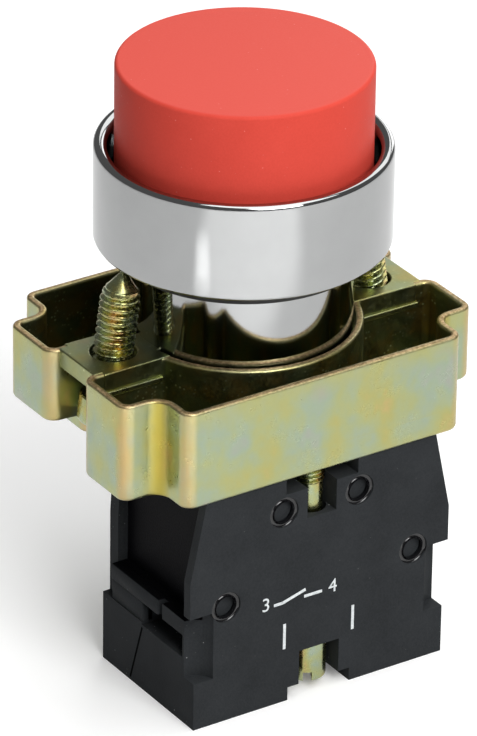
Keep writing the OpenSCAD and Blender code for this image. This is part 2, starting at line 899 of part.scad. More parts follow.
module contact_plunger() {
  color("seagreen")
    translate([0, y_contact, 0]) {
      difference() {
        box(
          -carriage_w / 2, carriage_w / 2, -carriage_t / 2, carriage_t / 2,
          z_carriage, z_carriage_top
        );
        box(
          -carriage_w, carriage_w, -carriage_t / 2 + cheek_t, carriage_t / 2 - cheek_t,
          z_bridge, z_window_top
        );
      }
      translate([0, 0, z_carriage_top - bar_t / 2])
        cylinder(d = plunger_d, h = z_plunger_top - z_carriage_top + bar_t / 2);
      translate([0, 0, z_carriage - guide_l])
        cylinder(d = guide_d, h = guide_l + bar_t / 2);
    }
}

module plunger_spring() {
  color("lightgray")
    translate([0, y_contact, plunger_spring_seat])
      wire_spring(
        plunger_spring_r, plunger_wire_d, z_carriage - plunger_spring_seat,
        plunger_spring_turns, "plunger spring"
      );
}

module contact_spring() {
  low = z_bridge + bridge_t;
  color("lightgray")
    translate([0, y_contact, low])
      wire_spring(contact_spring_r, contact_wire_d, z_window_top - low, contact_spring_turns, "contact spring");
}

module contact_bridge() {
  color("peru")
    translate([0, y_contact, z_bridge])
      linear_extrude(bridge_t)
        rounded_rect(bridge_l, bridge_w, bridge_w / 4);
}

module contact_tip(z) {
  translate([tip_x, y_contact, z])
    cylinder(d = tip_d, h = tip_t);
}

module bridge_tips() {
  color("silver")
    both_sides()
      contact_tip(z_moving_tip);
}

module fixed_tips() {
  color("silver")
    both_sides()
      contact_tip(z_plate_top);
}

// Terminals

module fixed_contact() {
  color("goldenrod")
    difference() {
      box(plate_in, plate_out, y_contact - plate_w / 2, y_contact + plate_w / 2, z_plate, z_plate_top);
      translate([terminal_x, y_contact, z_plate - cut])
        cylinder(r = terminal_d / 2 + thread_clear, h = plate_t + 2 * cut);
    }
}

module fixed_contact_left() {
  mirror([1, 0, 0])
    fixed_contact();
}

module fixed_contact_right() {
  fixed_contact();
}

module terminal_screw_at(side) {
  color("lightsteelblue")
    translate([side * terminal_x, y_contact, 0]) {
      translate([0, 0, z_washer])
        thread(terminal_d, terminal_pitch, z_plate_top + terminal_over - z_washer);
      slotted_head(
        terminal_head_d, terminal_head_t, z_terminal_head,
        drive_slot_share * terminal_head_t, head_edge_share * terminal_head_t
      );
    }
}

module terminal_screw_left() {
  terminal_screw_at(-1);
}

module terminal_screw_right() {
  terminal_screw_at(1);
}

module terminal_clamp_at(side) {
  color("khaki")
    translate([side * terminal_x, y_contact, z_washer])
      difference() {
        translate([-washer_w / 2, -washer_w / 2, 0])
          cube([washer_w, washer_w, washer_t]);
        translate([0, 0, -cut])
          cylinder(r = terminal_d / 2 + thread_clear, h = washer_t + 2 * cut);
      }
}

module terminal_clamp_left() {
  terminal_clamp_at(-1);
}

module terminal_clamp_right() {
  terminal_clamp_at(1);
}

button_cap();
pusher();
pusher_seal();
pusher_foot();
stem_circlip();
return_spring();
bezel();
barrel();
panel_gasket();
mounting_collar();
clamp_screw_left();
clamp_screw_right();
block_base();
block_cover();
block_fixing_screw();
contact_plunger();
plunger_spring();
contact_spring();
contact_bridge();
bridge_tips();
fixed_contact_left();
fixed_contact_right();
fixed_tips();
terminal_screw_left();
terminal_screw_right();
terminal_clamp_left();
terminal_clamp_right();
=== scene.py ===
"""Looks of a panel push button: red cap, chrome bezel and barrel, yellow-zinc collar, black contact block.

Sizes are millimetres in the part's own frame, unless a comment says otherwise. The block stands on z = 0, the
button's axis is the Z axis and the block's face looks to -Y. Meshes are stored in metres.
"""
import math

import bmesh
import bpy
from mathutils import Matrix, Vector, noise
from mathutils.geometry import tessellate_polygon


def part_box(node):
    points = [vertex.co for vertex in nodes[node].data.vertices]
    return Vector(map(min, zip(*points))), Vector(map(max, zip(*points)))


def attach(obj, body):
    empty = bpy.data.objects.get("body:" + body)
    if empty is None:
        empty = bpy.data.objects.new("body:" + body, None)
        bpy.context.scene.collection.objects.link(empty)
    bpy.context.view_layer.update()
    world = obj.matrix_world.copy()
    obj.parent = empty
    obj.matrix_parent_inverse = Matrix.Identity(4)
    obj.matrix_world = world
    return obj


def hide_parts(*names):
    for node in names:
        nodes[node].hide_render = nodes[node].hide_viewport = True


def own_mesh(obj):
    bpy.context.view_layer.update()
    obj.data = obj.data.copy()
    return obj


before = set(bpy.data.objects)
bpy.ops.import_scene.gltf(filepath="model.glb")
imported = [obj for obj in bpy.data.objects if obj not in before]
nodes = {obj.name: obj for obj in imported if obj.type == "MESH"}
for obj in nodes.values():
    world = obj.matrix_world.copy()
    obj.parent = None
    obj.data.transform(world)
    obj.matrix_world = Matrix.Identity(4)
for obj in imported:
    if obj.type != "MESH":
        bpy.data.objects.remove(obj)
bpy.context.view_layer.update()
MM = 0.001


def box_mm(node):
    """Lowest and highest corner of a CAD node, in millimetres."""
    low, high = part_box(node)
    return low / MM, high / MM


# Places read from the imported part

cap_low, cap_high = box_mm("button_cap")
bezel_low, bezel_high = box_mm("bezel")
barrel_low, barrel_high = box_mm("barrel")
gasket_low, gasket_high = box_mm("panel_gasket")
collar_low, collar_high = box_mm("mounting_collar")
fix_low, fix_high = box_mm("block_fixing_screw")

CAP_R = cap_high.x
BEZEL_R = bezel_high.x
GASKET_R = gasket_high.x
FACE_Y = box_mm("block_cover")[0].y
LEDGE_Z = box_mm("pusher_foot")[1].z
Z_COLLAR, Z_TABLE = collar_low.z, collar_high.z

# Sizes that the part's source names or works out

CAP_WALL, CAP_TOP_T = 1.6, 2.0
BEZEL_FLOOR_T, BEZEL_FILLET = 1.5, 0.4
BARREL_R, BORE_R, FLANGE_T, LEDGE_T, STEM_HOLE_R = 11.0, 9.3, 1.2, 1.5, 5.2
TAB_W, TAB_REACH = 4.0, 0.7
SHEET, TONGUE_STEP = 0.8, 2.5
COLLAR_END_X, COLLAR_MID_X, COLLAR_END_Y, COLLAR_MID_Y = collar_high.x, 16.1, 10.65, collar_high.y
CHANNEL_Y, RING_R, TABLE_T, TABLE_END_X = 2.9, 11.2, 2.0, 19.1
BOSS_R, BOSS_H, BOSS_HOLE_R = 2.3, 2.4, 1.58
CLAMP_X, CLAMP_TILT, CLAMP_R, CLAMP_PITCH, CLAMP_CLEAR = 14.85, 8.0, 2.0, 0.7, 0.28
CLAMP_HEAD_R, CLAMP_HEAD_T, CLAMP_HEAD_TOP, CLAMP_TIP = 2.75, 3.0, -4.544, 8.684
FIX_R, FIX_PITCH, FIX_HEAD_R, FIX_HEAD_T, FIX_SHANK_R, FIX_THREAD_L = 1.5, 0.5, 2.0, 4.2, 1.3475, 4.6
FIX_Y = (fix_low.y + fix_high.y) / 2
BASE_END_X, FOOT_END_X, RECESS_BACK_Y, SEAM_Y, WAY_BACK_Y = 13.9, 14.7, 0.5, -8.9, -5.2
WAY_Z, SHELF_Z, SHELF_TOP_Z = 7.3, 9.8, 11.5
UPPER_PIN, LOWER_PIN = (4.4, 21.4), (11.0, 12.8)
THREAD_SHARE = 0.61
STROKE, BRIDGE_STROKE = 4.3, 2.1

# Sizes of the looks alone

CAP_EDGE, CAP_LOW_EDGE = 0.42, 0.25
HEAD_CLEAR = 0.05
BEZEL_WALL, RIM_R, BEZEL_LIP = 1.4, 0.5, 0.75
RIM_SINK = 0.06
BEND_R, CORNER_R, HOLLOW_R, CHANNEL_EDGE_R, RING_EDGE_R = 0.55, 1.4, 1.6, 1.5, 1.4
SLOT_W, CLAMP_HEAD_EDGE, CLAMP_SLOT_DEPTH = 0.9, 0.6, 1.35
FIX_HEAD_EDGE, FIX_SLOT_DEPTH, FIX_TURN = 0.18, 1.0, -28
INK_T = 0.02
# A box in each end of the block whose plastic is painted near black, as shade in the hollows.
PAINTED_SHADE_LOW, PAINTED_SHADE_HIGH = (12.6, -13.5, SHELF_TOP_Z - 0.02), (14.62, RECESS_BACK_Y - 0.1, 30.0)


# Meshes

def mesh_object(name, points, faces, sharp=35):
    """One closed mesh from points in millimetres, shaded smooth up to the sharp angle."""
    mesh = bpy.data.meshes.new(name)
    mesh.from_pydata([Vector(p) * MM for p in points], [], faces)
    bm = bmesh.new()
    bm.from_mesh(mesh)
    bmesh.ops.recalc_face_normals(bm, faces=bm.faces)
    bm.to_mesh(mesh)
    bm.free()
    obj = bpy.data.objects.new(name, mesh)
    bpy.context.scene.collection.objects.link(obj)
    shade(obj, sharp)
    return obj


def shade(obj, sharp=35):
    obj.data.shade_smooth()
    obj.data.set_sharp_from_angle(angle=math.radians(sharp))


def arc(cx, cy, r, start, end, steps=8):
    """Points of an arc, with angles in degrees."""
    turns = [math.radians(start + (end - start) * i / steps) for i in range(steps + 1)]
    return [(cx + r * math.cos(t), cy + r * math.sin(t)) for t in turns]


def lathe(name, profile, steps=192, closed=True):
    """A half section (radius, height) turned about the Z axis; closed joins its last point to its first."""
    points, faces = [], []
    count = len(profile)
    for k in range(steps):
        t = math.radians(360 * k / steps)
        points += [(r * math.cos(t), r * math.sin(t), z) for r, z in profile]
    for k in range(steps):
        a, b = k * count, ((k + 1) % steps) * count
        for i in range(count if closed else count - 1):
            j = (i + 1) % count
            faces.append((a + i, a + j, b + j, b + i))
    obj = mesh_object(name, points, faces)
    weld(obj)
    return obj


def weld(obj, gap=0.0005):
    bm = bmesh.new()
    bm.from_mesh(obj.data)
    bmesh.ops.remove_doubles(bm, verts=bm.verts, dist=gap * MM)
    bmesh.ops.dissolve_degenerate(bm, edges=bm.edges, dist=gap * MM)
    bmesh.ops.recalc_face_normals(bm, faces=bm.faces)
    bm.to_mesh(obj.data)
    bm.free()
    shade(obj)


def block(name, low, high):
    """A box from corner to corner."""
    points = [(x, y, z) for x in (low[0], high[0]) for y in (low[1], high[1]) for z in (low[2], high[2])]
    faces = [(0, 1, 3, 2), (4, 6, 7, 5), (0, 4, 5, 1), (2, 3, 7, 6), (0, 2, 6, 4), (1, 5, 7, 3)]
    return mesh_object(name, points, faces)


def prism(name, outline, z0, z1):
    """An outline seen from above, from z0 up to z1."""
    n = len(outline)
    points = [(x, y, z) for z in (z0, z1) for x, y in outline]
    faces = [tuple(range(n)), tuple(range(n, 2 * n))]
    faces += [(i, (i + 1) % n, n + (i + 1) % n, n + i) for i in range(n)]
    return mesh_object(name, points, faces)


def evaluated(obj):
    """Applies obj's modifiers to its own mesh."""
    graph = bpy.context.evaluated_depsgraph_get()
    mesh = bpy.data.meshes.new_from_object(obj.evaluated_get(graph))
    old = obj.data
    obj.modifiers.clear()
    obj.data = mesh
    bpy.data.meshes.remove(old)
    return obj


def cut(obj, tool):
    """Cuts the tool from obj, and removes the tool."""
    step = obj.modifiers.new("step", "BOOLEAN")
    step.operation, step.solver, step.object = "DIFFERENCE", "EXACT", tool
    evaluated(obj)
    mesh = tool.data
    bpy.data.objects.remove(tool)
    bpy.data.meshes.remove(mesh)
    shade(obj)
    return obj


def drill(obj, r, z0, z1, place, steps):
    """Cuts a round hole from z0 to z1 along the Z axis of a place."""
    tool = lathe("hole", [(0, z0), (r, z0), (r, z1), (0, z1)], steps=steps)
    return cut(obj, transform(tool, place))


def join(obj, *others):
    """Puts the others' faces into obj's mesh."""
    bm = bmesh.new()
    for part in (obj, *others):
        bm.from_mesh(part.data)
    bm.to_mesh(obj.data)
    bm.free()
    for part in others:
        bpy.data.objects.remove(part)
    shade(obj)
    return obj


def transform(obj, matrix):
    """Moves a new piece's vertices by a matrix whose lengths are millimetres."""
    matrix = matrix.copy()
    matrix.translation *= MM
    obj.data.transform(matrix)
    return obj


def bevel(obj, width, segments=2, angle=40):
    step = obj.modifiers.new("edges", "BEVEL")
    step.width, step.segments, step.limit_method = width * MM, segments, "ANGLE"
    step.angle_limit = math.radians(angle)
    step.harden_normals = True
    return obj


def threaded_rod(name, r, pitch, z0, z1, limit):
    """A rod along Z with a helical thread; limit gives the largest radius at a height."""
    sides, rows_per_turn = 64, 16
    steep, root = 1.6, 0.4
    depth = THREAD_SHARE * pitch
    rows = int((z1 - z0) / pitch * rows_per_turn)
    points, faces = [], []
    for i in range(rows + 1):
        z = z0 + (z1 - z0) * i / rows
        for k in range(sides):
            t = 2 * math.pi * k / sides
            phase = (z / pitch - k / sides) % 1
            ridge = min(1, max(0, steep * (1 - abs(2 * phase - 1)) - root))
            radius = min(r - depth + depth * ridge, limit(z))
            points.append((radius * math.cos(t), radius * math.sin(t), z))
    for i in range(rows):
        for k in range(sides):
            a, b = i * sides + k, i * sides + (k + 1) % sides
            faces.append((a, b, b + sides, a + sides))
    faces += [tuple(range(sides)), tuple(range(rows * sides, (rows + 1) * sides))]
    return mesh_object(name, points, faces, sharp=60)


def slotted_head(name, r, z0, z1, edge, slot_depth, turn=0):
    """A round head whose drive slot faces -Z and runs along Y, or turned from it by some degrees."""
    top_edge = 0.25
    profile = [
        (0, z0), *arc(r - edge, z0 + edge, edge, -90, 0, 6),
        *arc(r - top_edge, z1 - top_edge, top_edge, 0, 90, 4), (0, z1),
    ]
    head = lathe(name, profile, steps=96)
    slot = block(name + "_slot", (-SLOT_W / 2, -2 * r, z0 - 1), (SLOT_W / 2, 2 * r, z0 + slot_depth))
    return cut(head, transform(slot, Matrix.Rotation(math.radians(turn), 4, "Z")))


# Materials

class Shader:
    """A procedural material under construction; textures use object coordinates and sizes in millimetres."""

    def __init__(self, name, roughness, metallic=0.0, specular=0.5):
        self.material = bpy.data.materials.new(name)
        self.material.use_nodes = True
        self.tree = self.material.node_tree
        self.bsdf = self.tree.nodes["Principled BSDF"]
        self.bsdf.inputs["Roughness"].default_value = roughness
        self.bsdf.inputs["Metallic"].default_value = metallic
        self.bsdf.inputs["Specular IOR Level"].default_value = specular
        self.coordinates = self.add("ShaderNodeTexCoord").outputs["Object"]

    def add(self, kind, **values):
        node = self.tree.nodes.new(kind)
        for key, value in values.items():
            setattr(node, key, value)
        return node

    def put(self, socket, value):
        if isinstance(value, bpy.types.NodeSocket):
            self.tree.links.new(value, socket)
        else:
            socket.default_value = value

    def stretched(self, x, y, z):
        """The coordinates with each axis squeezed, for streaks and brush marks."""
        node = self.add("ShaderNodeMapping")
        node.inputs["Scale"].default_value = (x, y, z)
        self.put(node.inputs["Vector"], self.coordinates)
        return node.outputs["Vector"]

    def noise(self, size, detail=3.0, rough=0.55, vector=None):
        node = self.add("ShaderNodeTexNoise")
        self.put(node.inputs["Vector"], vector or self.coordinates)
        node.inputs["Scale"].default_value = 1 / (size * MM)
        node.inputs["Detail"].default_value = detail
        node.inputs["Roughness"].default_value = rough
        return node.outputs["Fac"]

    def specks(self, size):
        """Distance to scattered points, 0 at each point."""
        node = self.add("ShaderNodeTexVoronoi")
        self.put(node.inputs["Vector"], self.coordinates)
        node.inputs["Scale"].default_value = 1 / (size * MM)
        return node.outputs["Distance"], node.outputs["Color"]

    def facing_up(self):
        """1 where the surface looks up, 0 where it stands."""
        node = self.add("ShaderNodeSeparateXYZ")
        self.put(node.inputs["Vector"], self.add("ShaderNodeNewGeometry").outputs["Normal"])
        return node.outputs["Z"]

    def within(self, low, high, soft=0.05):
        """1 inside a box, and inside its mirror image at the other end, 0 outside."""
        split = self.add("ShaderNodeSeparateXYZ")
        self.put(split.inputs["Vector"], self.coordinates)
        x, y, z = split.outputs
        share = 1.0
        for value, start, stop in zip((self.math("ABSOLUTE", x, 0.0), y, z), low, high):
            after = self.span(value, (start - soft) * MM, start * MM)
            before = self.span(value, stop * MM, (stop + soft) * MM, 1, 0)
            share = self.math("MULTIPLY", share, self.math("MULTIPLY", after, before))
        return share

    def span(self, value, low, high, to_low=0.0, to_high=1.0):
        node = self.add("ShaderNodeMapRange")
        self.put(node.inputs["Value"], value)
        for key, number in zip(("From Min", "From Max", "To Min", "To Max"), (low, high, to_low, to_high)):
            node.inputs[key].default_value = number
        return node.outputs["Result"]

    def math(self, operation, a, b):
        node = self.add("ShaderNodeMath", operation=operation)
        self.put(node.inputs[0], a)
        self.put(node.inputs[1], b)
        return node.outputs[0]

    def ramp(self, value, stops):
        node = self.add("ShaderNodeValToRGB")
        self.put(node.inputs["Fac"], value)
        ramp = node.color_ramp
        while len(ramp.elements) < len(stops):
            ramp.elements.new(0.5)
        for element, (place, colour) in zip(ramp.elements, stops):
            element.position = place
            element.color = (*colour, 1)
        return node.outputs["Color"]

    def mix(self, share, a, b):
        node = self.add("ShaderNodeMix", data_type="RGBA")
        self.put(node.inputs["Factor"], share)
        for socket, colour in ((node.inputs[6], a), (node.inputs[7], b)):
            self.put(socket, (*colour, 1) if isinstance(colour, tuple) else colour)
        return node.outputs[2]

    def attribute(self, name):
        return self.add("ShaderNodeAttribute", attribute_name=name).outputs["Fac"]

    def colour(self, value):
        self.put(self.bsdf.inputs["Base Color"], (*value, 1) if isinstance(value, tuple) else value)

    def roughness(self, value):
        self.put(self.bsdf.inputs["Roughness"], value)

    def bump(self, height, depth, strength=1.0):
        node = self.add("ShaderNodeBump")
        self.put(node.inputs["Height"], height)
        node.inputs["Distance"].default_value = depth * MM
        node.inputs["Strength"].default_value = strength
        self.put(self.bsdf.inputs["Normal"], node.outputs["Normal"])


def moulded(
        name, low, high, roughness, grain=0.25, depth=0.012, specular=0.3, dust=None, top=None, painted_shade=None):
    """Matt moulded plastic: colour drifts between low and high, with a fine grain.

    dust is the colour of scattered specks, and top a paler colour on the faces that look up, painted as
    sheen.
    The last colour is painted near black in the hollows of the block's ends, as shade.
    """
    s = Shader(name, roughness, specular=specular)
    drift = s.noise(5.0)
    fine = s.noise(grain, detail=2.0)
    base = s.mix(s.math("ADD", s.span(drift, 0.3, 0.7, 0, 0.6), s.span(fine, 0.35, 0.65, 0, 0.4)), low, high)
    # Faces that look up turn paler: a painted sheen.
    if top:
        base = s.mix(s.span(s.facing_up(), 0.8, 1.0), base, top)
    if dust:
        near, pick = s.specks(0.75)
        patch = s.math("MULTIPLY", s.span(s.noise(6.0), 0.42, 0.56), s.span(pick, 0.5, 0.7))
        base = s.mix(s.math("MULTIPLY", s.span(near, 0.04, 0.11, 0.8, 0), patch), base, dust)
    # Inside that box the plastic is painted near black: painted shade.
    if painted_shade:
        base = s.mix(s.within(PAINTED_SHADE_LOW, PAINTED_SHADE_HIGH), base, painted_shade)
    s.colour(base)
    s.roughness(s.span(fine, 0.3, 0.7, roughness - 0.07, roughness + 0.07))
    s.bump(fine, depth)
    return s.material


def polished(name, tint, roughness=0.07):
    """Bright plate with fine haze and hair scratches."""
    s = Shader(name, roughness, metallic=1.0)
    haze = s.noise(3.5)
    hair = s.noise(0.5, detail=2.0, vector=s.stretched(1, 1, 14))
    hazy = s.span(haze, 0.35, 0.7, roughness * 0.8, roughness * 1.3)
    s.colour(s.mix(s.span(haze, 0.3, 0.7), tint, tuple(0.95 * c for c in tint)))
    s.roughness(s.math("ADD", hazy, s.span(hair, 0.62, 0.8, 0, 0.05)))
    s.bump(hair, 0.002, 0.35)
    return s.material


ZINC_TEAL = (0.34, 0.41, 0.30)
ZINC_LILAC = (0.38, 0.38, 0.34)
ZINC_GREEN = (0.39, 0.42, 0.215)
# Yellow is a film colour, and near the edges also partly a painted highlight.
ZINC_YELLOW = (0.43, 0.41, 0.16)
# Peach is a film colour, and also the painted highlight on the convex bends.
ZINC_PEACH = (0.55, 0.38, 0.17)
# Gold is painted shade in the concave bends.
ZINC_GOLD = (0.42, 0.33, 0.04)
# Olive and brown inside the pockets: painted shade over the plating's rough finish.
ZINC_DULL_AND_SHADE = (0.18, 0.21, 0.09)
ZINC_BROWN = (0.30, 0.22, 0.06)
ZINC_FLECK = (0.70, 0.75, 0.45)
# Sheared rims: bare grainy metal, tinted paler as a painted highlight.
ZINC_SHEARED_HIGHLIGHT = ((0.28, 0.19, 0.09), (0.66, 0.48, 0.28))


def zinc(name, cloud=5.0, roughness=0.3, shift=0.0, shaped=False):
    """Zinc plate with yellow passivation: an iridescent film in upright clouds.

    On a shaped sheet the convex bends get a painted peach highlight and the concave bends a painted gold
    shade; the edges turn yellow, partly film and partly a painted highlight along the rims; the pockets get a
    painted dark shade over their rough grainy finish with pale flecks; and the sheared rims are bare and
    grainy, tinted paler as a painted highlight.
    """
    s = Shader(name, roughness, metallic=1.0)
    upright = s.stretched(1, 1, 0.7)
    mottle = s.span(s.noise(cloud / 5), 0, 1, shift - 0.05, shift + 0.05)
    film = s.math("ADD", s.noise(cloud, vector=upright), mottle)
    base = s.ramp(film, [
        (0.24, ZINC_PEACH), (0.36, ZINC_YELLOW), (0.46, ZINC_GREEN), (0.60, ZINC_TEAL), (0.72, ZINC_LILAC)])
    grain = s.noise(0.3, detail=0.0)
    uneven = s.span(s.noise(2.0), 0.3, 0.7, roughness - 0.05, roughness + 0.05)
    rough = s.math("ADD", uneven, s.span(grain, 0.4, 0.8, 0, 0.08))
    height = grain
    if shaped:
        bend, inside, rim = s.attribute("bend"), s.attribute("inside"), s.attribute("rim")
        # Yellow near the edges: partly the film's tint, partly a painted highlight along the rims.
        base = s.mix(s.math("MULTIPLY", s.attribute("edge"), 0.6), base, ZINC_YELLOW)
        # Peach on the convex bends, broken into upright streaks: a painted highlight.
        streaks = s.span(s.noise(1.6, vector=s.stretched(1, 1, 0.3)), 0.35, 0.65, 0.35, 0.85)
        base = s.mix(s.math("MULTIPLY", s.span(bend, 0, 1), streaks), base, ZINC_PEACH)
        # Gold in the concave bends: painted shade.
        base = s.mix(s.span(bend, 0, -1, 0, 0.8), base, ZINC_GOLD)
        near, pick = s.specks(0.45)
        patch = s.math("MULTIPLY", s.span(pick, 0.5, 0.65), s.span(s.noise(3.0), 0.46, 0.58))
        flecks = s.math("MULTIPLY", s.span(near, 0.1, 0.35, 1, 0), patch)
        # Inside the pockets a painted dark shade in olive and brown, with real pale flecks.
        dull_and_shade = s.mix(s.span(s.noise(3.5), 0.45, 0.62), ZINC_DULL_AND_SHADE, ZINC_BROWN)
        base = s.mix(s.math("MULTIPLY", inside, 0.9), base, s.mix(flecks, dull_and_shade, ZINC_FLECK))
        # The sheared rims: bare grainy metal, tinted paler as a painted highlight.
        base = s.mix(rim, base, s.mix(s.span(s.noise(0.35), 0.35, 0.65), *ZINC_SHEARED_HIGHLIGHT))
        rough = s.math("ADD", rough, s.math("ADD", s.span(rim, 0, 1, 0, 0.3), s.span(inside, 0, 1, 0, 0.06)))
        height = s.math("MULTIPLY", grain, s.span(inside, 0, 1, 1, 5))
    s.colour(base)
    s.roughness(rough)
    s.bump(height, 0.004, 0.5)
    return s.material


def metal(name, tint, roughness, grain=0.15):
    """Plain metal with drawing marks."""
    s = Shader(name, roughness, metallic=1.0)
    marks = s.noise(grain, detail=2.0, vector=s.stretched(1, 1, 6))
    tarnish = s.noise(2.5)
    s.colour(s.mix(s.span(tarnish, 0.35, 0.7), tint, tuple(0.8 * c for c in tint)))
    s.roughness(s.span(marks, 0.3, 0.7, roughness - 0.06, roughness + 0.1))
    s.bump(marks, 0.004, 0.5)
    return s.material


def ink(name):
    """Pad-printed pale ink, slightly worn."""
    s = Shader(name, 0.55)
    s.colour(s.mix(s.span(s.noise(0.3), 0.35, 0.6), (0.62, 0.66, 0.68), (0.80, 0.83, 0.84)))
    s.bump(s.noise(0.12), 0.003)
    return s.material


# The red's top colour is a painted sheen on the faces that look up.
red = moulded(
    "red_plastic", (0.64, 0.064, 0.044), (0.70, 0.076, 0.053), 0.5, grain=0.22, depth=0.010, specular=0.06,
    dust=(0.75, 0.30, 0.27), top=(0.68, 0.095, 0.073))
# The black's last colour is painted near black in the end hollows, as shade.
black = moulded(
    "black_plastic", (0.024, 0.026, 0.028), (0.036, 0.039, 0.042), 0.5, grain=0.2, depth=0.016, specular=0.03,
    dust=(0.42, 0.43, 0.43), painted_shade=(0.003, 0.003, 0.004))
seam_black = moulded("seam_black", (0.003, 0.003, 0.003), (0.006, 0.006, 0.006), 0.8, specular=0.0)
# Near black: painted shade of the gap round each pin.
glossy_gap_shade = moulded(
    "glossy_gap_shade", (0.004, 0.004, 0.005), (0.008, 0.008, 0.009), 0.15, grain=0.4, depth=0.004, specular=0.6)
rubber = moulded("black_rubber", (0.022, 0.022, 0.021), (0.040, 0.040, 0.038), 0.6, grain=0.3, depth=0.02)
white = moulded("white_plastic", (0.70, 0.70, 0.67), (0.80, 0.80, 0.78), 0.4)
green = moulded("green_plastic", (0.06, 0.30, 0.14), (0.09, 0.38, 0.19), 0.4)
chrome = polished("chrome", (0.39, 0.395, 0.395))
zinc_sheet = zinc("zinc_sheet", shaped=True)
zinc_screw = zinc("zinc_screw", cloud=2.2, roughness=0.22, shift=-0.1)
steel = metal("bright_steel", (0.60, 0.61, 0.62), 0.3)
brass = metal("brass", (0.68, 0.48, 0.20), 0.32)
copper = metal("copper", (0.72, 0.38, 0.22), 0.3)
silver = metal("silver", (0.80, 0.80, 0.78), 0.28)
print_ink = ink("print_ink")


def dress(obj, material, body, slot, *replaced):
    """Gives a new piece its material, its body, and the CAD nodes that it stands for; slot is not used."""
    obj.data.materials.clear()
    obj.data.materials.append(material)
    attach(obj, body)
    if replaced:
        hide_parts(*replaced)
    return obj


# Head

def make_cap():
    z0, z1, r, low = cap_low.z, cap_high.z, CAP_R, CAP_LOW_EDGE
    inner = r - CAP_WALL
    profile = [
        (0, z1), *arc(r - CAP_EDGE, z1 - CAP_EDGE, CAP_EDGE, 90, 0, 8),
        *arc(r - low, z0 + low, low, 0, -90, 5), (inner, z0), (inner, z1 - CAP_TOP_T), (0, z1 - CAP_TOP_T),
    ]
    return dress(lathe("cap_shell", profile, closed=False), red, "button", "red_plastic", "button_cap")


def make_bezel():
    z0, z1, r = bezel_low.z, bezel_high.z, BEZEL_R
    inner, floor = r - BEZEL_WALL, z0 + BEZEL_FLOOR_T
    hole, f, lip = BARREL_R + HEAD_CLEAR, BEZEL_FILLET, BEZEL_LIP
    profile = [
        (hole, z0), *arc(r - f, z0 + f, f, -90, 0, 14), *arc(r - RIM_R, z1 - RIM_R, RIM_R, 0, 90, 8),
        *arc(inner + lip, z1 - lip, lip, 90, 180, 6), (inner, floor), (hole, floor),
    ]
    return dress(lathe("bezel_cup", profile, steps=256), chrome, "base", "chrome", "bezel")


def make_barrel():
    z0, z1 = barrel_low.z, barrel_high.z
    ledge, flange, flange_r = LEDGE_Z, z1 - FLANGE_T, barrel_high.x
    edge = 0.15
    profile = [
        (BORE_R, z0), *arc(BARREL_R - edge, z0 + edge, edge, -90, 0, 3),
        (BARREL_R, flange), (flange_r, flange),
        *arc(flange_r - edge, z1 - edge, edge, 0, 90, 3), (BORE_R, z1), (BORE_R, ledge + LEDGE_T),
        (STEM_HOLE_R, ledge + LEDGE_T), (STEM_HOLE_R, ledge), (BORE_R, ledge),
    ]
    barrel = lathe("barrel_tube", profile, steps=256)
    return dress(barrel, chrome, "base", "chrome", "barrel")


def make_gasket():
    z0, z1, r, hole = gasket_low.z, gasket_high.z, GASKET_R, BARREL_R + HEAD_CLEAR
    edge = 0.2
    profile = [
        (hole, z0), *arc(r - edge, z0 + edge, edge, -90, 0, 5),
        *arc(r - edge, z1 - edge, edge, 0, 90, 5), (hole, z1),
    ]
    return dress(lathe("gasket_ring", profile), rubber, "base", "black_rubber", "panel_gasket")


# Mounting collar

def corner(before, at, after, r, steps=10):
    """Points and outward normals of a rounded corner on an outline that runs anticlockwise."""
    before, at, after = Vector(before), Vector(at), Vector(after)
    u, v = (at - before).normalized(), (after - at).normalized()
    turn = math.atan2(u.x * v.y - u.y * v.x, u.dot(v))
    side = math.copysign(1, turn)
    start = at - u * r * math.tan(abs(turn) / 2)
    centre = start + Vector((-u.y, u.x)) * r * side
    result = []
    for i in range(steps + 1):
        spoke = Matrix.Rotation(turn * i / steps, 2) @ (start - centre)
        bend = side * math.sin(math.pi * i / steps)
        result.append((centre + spoke, spoke.normalized() * side, bend))
    return result


def cup_outlines():
    """The front cup's outside as columns of (point, outward normal, how much it is a bend).

    Returns the columns that run the whole height, then those round the raised right tongue, and those of the
    end wall that goes on down under it. Each of the last two closes the first to a loop.
    """
    ex, mx, ey, my, cy = COLLAR_END_X, COLLAR_MID_X, COLLAR_END_Y, COLLAR_MID_Y, CHANNEL_Y
    start = (0, -cy)
    left = [
        ((-ex, -cy), CHANNEL_EDGE_R), ((-ex, -ey), CORNER_R), ((-mx, -ey), HOLLOW_R), ((-mx, -my), CORNER_R),
        ((mx, -my), CORNER_R),
    ]
    tongue = [((mx, -ey), HOLLOW_R), ((ex, -ey), CORNER_R), ((ex, -cy), CHANNEL_EDGE_R)]
    places = [start] + [c[0] for c in left + tongue] + [start]
    rounded = [corner(places[i], at, places[i + 2], r) for i, (at, r) in enumerate(left + tongue)]
    whole = [column for part in rounded[:len(left)] for column in part]
    raised = [column for part in rounded[len(left):] for column in part]
    whole.append(raised.pop(0))
    below = corner((mx, -ey), (mx, -cy), start, CHANNEL_EDGE_R)
    channel = below.pop()
    # Where the channel's side meets the ring, a fillet touches both
    f = RING_EDGE_R
    centre = Vector((math.sqrt((RING_R + f) ** 2 - (cy + f) ** 2), -(cy + f)))
    touch = math.degrees(math.atan2(centre.y, centre.x))
    fillet = arc(centre.x, centre.y, f, 90, 180 + touch, 8)
    right = [(Vector(p), (Vector(p) - centre) / f, 0.0) for p in fillet]
    ring = [(Vector(p), -Vector(p) / RING_R, 0.0) for p in arc(0, 0, RING_R, touch, -180 - touch, 72)[1:-1]]
    mirrored = [(Vector((-p.x, p.y)), Vector((-n.x, n.y)), b) for p, n, b in reversed(right)]
    return [channel] + right + ring + mirrored + whole, raised, below


